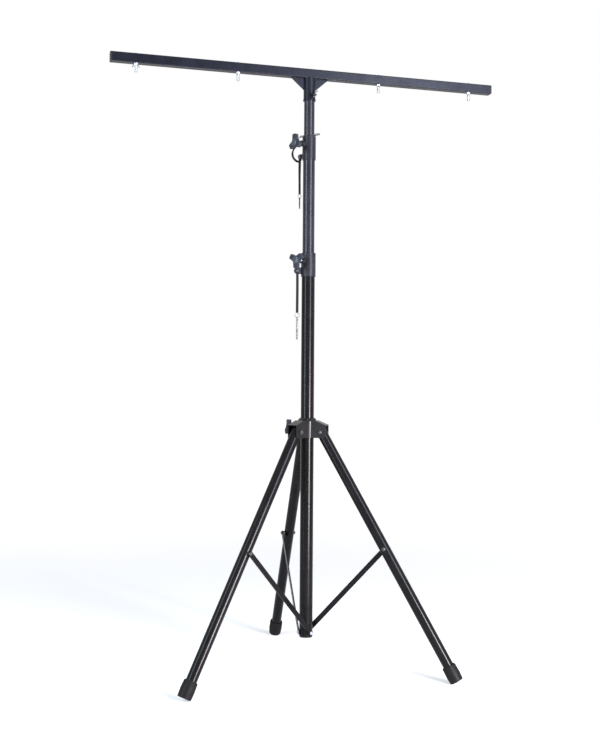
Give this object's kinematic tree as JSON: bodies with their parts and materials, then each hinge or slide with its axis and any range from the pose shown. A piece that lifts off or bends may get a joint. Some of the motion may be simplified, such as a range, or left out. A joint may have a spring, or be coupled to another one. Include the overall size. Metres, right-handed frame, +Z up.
{
  "type": "lighting stand",
  "caption": "Telescopic T-bar lighting stand: square crossbar with hanging bolts and wing nuts, clamped mast sections, safety pins on straps and a folding braced tripod.",
  "frame": {"origin": "on the mast's axis at floor level", "axes": "+Z up the mast, +X along the T-bar, -Y towards the side the front of the bar faces"},
  "size_m": [1.2, 0.7391, 1.8295],
  "materials": {
    "black_powder_coat": "semi-gloss",
    "bar_powder_coat": "satin",
    "black_plastic": "moulded",
    "knob_plastic": "fine moulded grain",
    "zinc_steel": "bright zinc",
    "black_steel": "black oxide",
    "polished_steel": "bright",
    "rubber": "moulded",
    "webbing": "woven",
    "bush_nylon": "moulded"
  },
  "bodies": {
    "mast": {"main_tube": "black_powder_coat", "base_plug": "black_plastic", "brace_base_bolts": "zinc_steel", "main_collar": "black_powder_coat", "main_collar_bush": "bush_nylon", "main_clamp_pad": "bush_nylon", "main_strap_bolt": "black_steel", "main_strap": "webbing"},
    "main_knob": {"main_clamp_knob": "knob_plastic", "main_clamp_stud": "zinc_steel"},
    "main_spare_pin": {"main_spare_pin": "polished_steel"},
    "mid_mast": {"mid_tube": "black_powder_coat", "mid_guide_ring": "bush_nylon", "mid_collar": "black_powder_coat", "mid_collar_bush": "bush_nylon", "mid_clamp_pad": "bush_nylon", "mid_strap_bolt": "black_steel", "mid_strap": "webbing"},
    "mid_knob": {"mid_clamp_knob": "knob_plastic", "mid_clamp_stud": "zinc_steel"},
    "mid_spare_pin": {"mid_spare_pin": "polished_steel"},
    "upper_mast": {"upper_tube": "black_powder_coat", "upper_tube_cap": "black_plastic", "upper_guide_ring": "bush_nylon"},
    "safety_pin": {"safety_pin": "polished_steel", "safety_pin_strap": "webbing"},
    "t_bar": {"t_bar_tube": "bar_powder_coat", "t_bar_end_caps": "black_plastic", "t_bar_sleeve": "bar_powder_coat", "t_bar_gussets": "bar_powder_coat", "hanger_bolts": "zinc_steel"},
    "thumb_screw": {"thumb_screw": "black_steel"},
    "hub": {"hub_cap": "black_powder_coat", "hub_sleeve": "bush_nylon", "hub_shell_front": "black_powder_coat", "hub_shell_right": "black_powder_coat", "hub_shell_left": "black_powder_coat", "hub_clamp_pad": "bush_nylon", "leg_pivot_bolts": "black_steel"},
    "hub_knob": {"hub_clamp_knob": "knob_plastic", "hub_clamp_stud": "zinc_steel"},
    "wing_nut_1": {"wing_nut_1": "zinc_steel"},
    "wing_nut_2": {"wing_nut_2": "zinc_steel"},
    "wing_nut_3": {"wing_nut_3": "zinc_steel"},
    "wing_nut_4": {"wing_nut_4": "zinc_steel"},
    "leg_left": {"leg_left": "black_powder_coat", "foot_left": "rubber", "brace_bolt_left": "black_steel"},
    "brace_left": {"brace_left": "black_powder_coat", "brace_rivet_left": "black_steel"},
    "leg_right": {"leg_right": "black_powder_coat", "foot_right": "rubber", "brace_bolt_right": "black_steel"},
    "brace_right": {"brace_right": "black_powder_coat", "brace_rivet_right": "black_steel"},
    "leg_rear": {"leg_rear": "black_powder_coat", "foot_rear": "rubber", "brace_bolt_rear": "black_steel"},
    "brace_rear": {"brace_rear": "black_powder_coat", "brace_rivet_rear": "black_steel"}
  },
  "joints": [
    {"name": "tripod_fold", "type": "slide", "parent": "mast", "child": "hub", "axis": [0, 0, 1], "range_m": [0, 0.1437]},
    {"name": "leg_fold_left", "type": "hinge", "parent": "hub", "child": "leg_left", "pos_m": [-0.03988, -0.02085, 0.7247], "axis": [0.4633, -0.8862, 0], "range_deg": [0, 30]},
    {"name": "brace_fold_left", "type": "hinge", "parent": "mast", "child": "brace_left", "pos_m": [0.01042, -0.01994, 0.118], "axis": [-0.4633, 0.8862, 0], "range_deg": [0, 35.17]},
    {"name": "leg_fold_right", "type": "hinge", "parent": "hub", "child": "leg_right", "pos_m": [0.038, -0.02411, 0.7247], "axis": [0.5358, 0.8443, 0], "range_deg": [0, 30]},
    {"name": "brace_fold_right", "type": "hinge", "parent": "mast", "child": "brace_right", "pos_m": [0.01206, 0.019, 0.118], "axis": [-0.5358, -0.8443, 0], "range_deg": [0, 35.17]},
    {"name": "leg_fold_rear", "type": "hinge", "parent": "hub", "child": "leg_rear", "pos_m": [0.00188, 0.04496, 0.7247], "axis": [-0.9991, 0.0419, 0], "range_deg": [0, 30]},
    {"name": "brace_fold_rear", "type": "hinge", "parent": "mast", "child": "brace_rear", "pos_m": [-0.02248, 0.00094, 0.118], "axis": [0.9991, -0.0419, 0], "range_deg": [0, 35.17]},
    {"name": "mid_extension", "type": "slide", "parent": "mast", "child": "mid_mast", "axis": [0, 0, 1], "range_m": [-0.282, 0.65]},
    {"name": "upper_extension", "type": "slide", "parent": "mid_mast", "child": "upper_mast", "axis": [0, 0, 1], "range_m": [0, 0.8]},
    {"name": "safety_pin_pull", "type": "slide", "parent": "upper_mast", "child": "safety_pin", "axis": [-0.7009, 0.7133, 0], "range_m": [0, 0.058]},
    {"name": "t_bar_swivel", "type": "hinge", "parent": "upper_mast", "child": "t_bar", "pos_m": [0, 0, 1.764], "axis": [0, 0, 1], "continuous": true},
    {"name": "thumb_screw_turn", "type": "hinge", "parent": "t_bar", "child": "thumb_screw", "pos_m": [0.00902, -0.02861, 1.744], "axis": [0.3007, -0.9537, 0], "continuous": true},
    {"name": "mid_knob_turn", "type": "hinge", "parent": "mid_mast", "child": "mid_knob", "pos_m": [-0.04619, -0.01913, 1.597], "axis": [-0.9239, -0.3827, 0], "continuous": true},
    {"name": "main_knob_turn", "type": "hinge", "parent": "mast", "child": "main_knob", "pos_m": [-0.04169, -0.0276, 1.242], "axis": [-0.8339, -0.5519, 0], "continuous": true},
    {"name": "hub_knob_turn", "type": "hinge", "parent": "hub", "child": "hub_knob", "pos_m": [-0.04222, 0.02679, 0.736], "axis": [-0.8443, 0.5358, 0], "continuous": true},
    {"name": "wing_nut_1_turn", "type": "hinge", "parent": "t_bar", "child": "wing_nut_1", "pos_m": [-0.525, 0, 1.79], "axis": [0, 0, 1], "continuous": true},
    {"name": "wing_nut_2_turn", "type": "hinge", "parent": "t_bar", "child": "wing_nut_2", "pos_m": [-0.222, 0, 1.79], "axis": [0, 0, 1], "continuous": true},
    {"name": "wing_nut_3_turn", "type": "hinge", "parent": "t_bar", "child": "wing_nut_3", "pos_m": [0.222, 0, 1.79], "axis": [0, 0, 1], "continuous": true},
    {"name": "wing_nut_4_turn", "type": "hinge", "parent": "t_bar", "child": "wing_nut_4", "pos_m": [0.525, 0, 1.79], "axis": [0, 0, 1], "continuous": true},
    {"name": "mid_spare_pin_swing", "type": "hinge", "parent": "mid_mast", "child": "mid_spare_pin", "pos_m": [-0.02425, 0.01703, 1.441], "axis": [0.6494, 0.7604, 0], "range_deg": [0, 60]},
    {"name": "main_spare_pin_swing", "type": "hinge", "parent": "mast", "child": "main_spare_pin", "pos_m": [-0.03464, -0.00119, 1.0774], "axis": [0.061, 0.9981, 0], "range_deg": [0, 60]}
  ],
  "couplings": [
    {"joint": "leg_fold_left", "follows": "tripod_fold", "rad_per_m": 3.6425},
    {"joint": "brace_fold_left", "follows": "tripod_fold", "rad_per_m": 4.2673},
    {"joint": "leg_fold_right", "follows": "tripod_fold", "rad_per_m": 3.6425},
    {"joint": "brace_fold_right", "follows": "tripod_fold", "rad_per_m": 4.2673},
    {"joint": "leg_fold_rear", "follows": "tripod_fold", "rad_per_m": 3.6425},
    {"joint": "brace_fold_rear", "follows": "tripod_fold", "rad_per_m": 4.2673}
  ]
}
